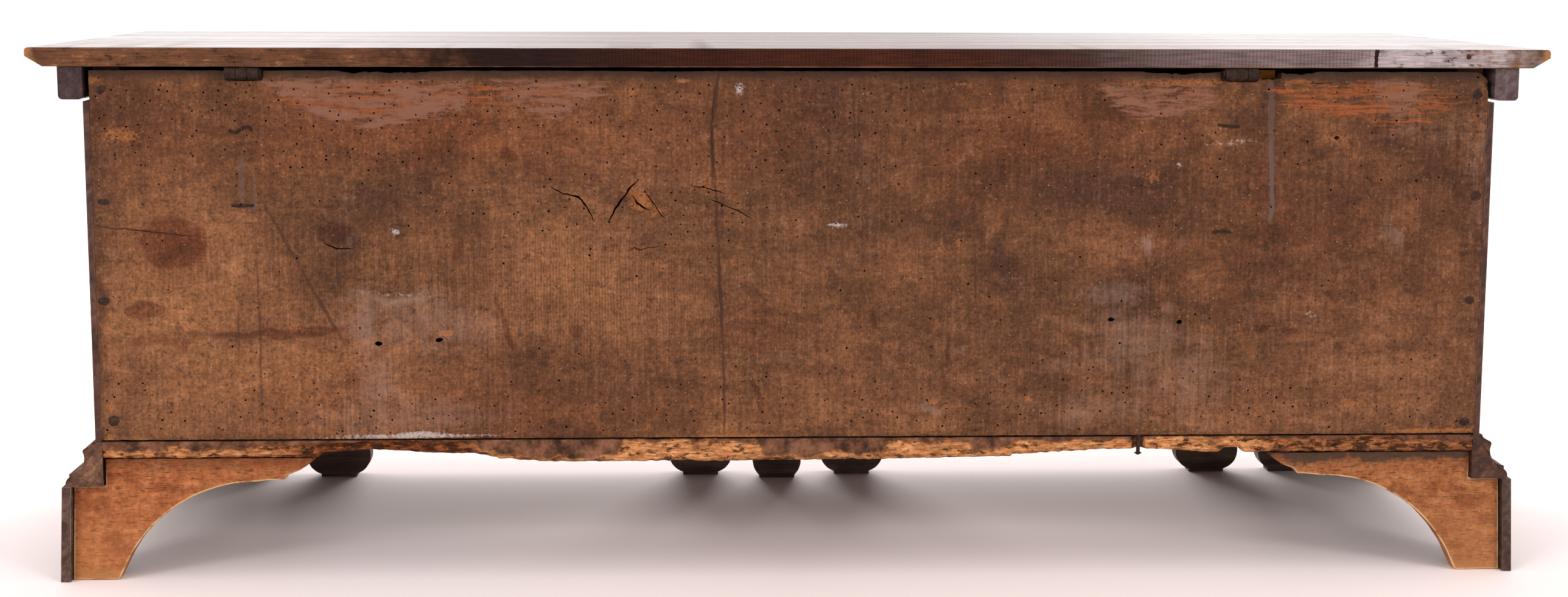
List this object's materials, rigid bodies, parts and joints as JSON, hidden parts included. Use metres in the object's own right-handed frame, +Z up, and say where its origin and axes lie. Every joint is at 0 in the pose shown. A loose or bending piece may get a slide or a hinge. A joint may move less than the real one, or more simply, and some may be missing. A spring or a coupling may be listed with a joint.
{
  "type": "coffer chest",
  "caption": "Long low plank coffer on a moulded base with scroll-cut feet; an overhanging lid with end cleats swings on strap hinges over one storage space with a lock.",
  "frame": {"origin": "on the floor under the middle of the chest's bounding box", "axes": "+X along the chest to the right of a person who faces its front, front towards -Y, +Z up"},
  "size_m": [1.65, 0.5918, 0.587],
  "materials": {
    "back_wood": "old oiled plank, stained and scraped, worm-holed",
    "lid_wood": "dark polished walnut, worn at the edges",
    "cleat_wood": "dark stained wood",
    "facing_wood": "dark polished walnut",
    "moulding_wood": "dark walnut moulding",
    "apron_wood": "dark walnut, dusty",
    "bracket_wood": "raw wood, rubbed",
    "bottom_wood": "raw softwood, worm-eaten at the edge",
    "case_wood": "old unpolished wood",
    "packing_wood": "pale raw wood",
    "iron": "hand-forged iron, dark"
  },
  "bodies": {
    "case": {"back_board": "back_wood", "back_board_nails": "iron", "bottom_nails": "iron", "case_hinge_nails": "iron", "centre_foot_block": "apron_wood", "escutcheon": "iron", "escutcheon_nails": "iron", "front_apron": "apron_wood", "front_base_moulding": "moulding_wood", "front_base_rail": "case_wood", "front_board": "case_wood", "front_bottom_board": "bottom_wood", "front_facing": "facing_wood", "front_left_corner_block": "case_wood", "front_right_corner_block": "case_wood", "hinge_packing": "packing_wood", "left_base_moulding": "moulding_wood", "left_base_rail": "case_wood", "left_case_hinge_leaf": "iron", "left_end_board": "case_wood", "left_end_facing": "facing_wood", "left_hinge_pin": "iron", "left_rear_bracket": "bracket_wood", "left_side_apron": "apron_wood", "lock_case": "iron", "lock_nails": "iron", "rear_bottom_board": "bottom_wood", "rear_left_corner_block": "case_wood", "rear_right_corner_block": "case_wood", "right_base_moulding": "moulding_wood", "right_base_rail": "case_wood", "right_case_hinge_leaf": "iron", "right_end_board": "case_wood", "right_end_facing": "facing_wood", "right_hinge_pin": "iron", "right_rear_bracket": "bracket_wood", "right_side_apron": "apron_wood"},
    "lid": {"cleat_nails": "iron", "left_lid_cleat": "cleat_wood", "left_lid_hinge_leaf": "iron", "lid_board": "lid_wood", "lid_hinge_nails": "iron", "lock_staple": "iron", "lock_staple_nails": "iron", "lock_staple_plate": "iron", "right_lid_cleat": "cleat_wood", "right_lid_hinge_leaf": "iron"},
    "bolt": {"lock_bolt": "iron"}
  },
  "joints": [
    {"name": "lid_hinge", "type": "hinge", "parent": "case", "child": "lid", "pos_m": [0, 0.2891, 0.5594], "axis": [-1, 0, 0], "range_deg": [0, 100]},
    {"name": "bolt_slide", "type": "slide", "parent": "case", "child": "bolt", "axis": [1, 0, 0], "range_m": [0, 0.014]}
  ]
}
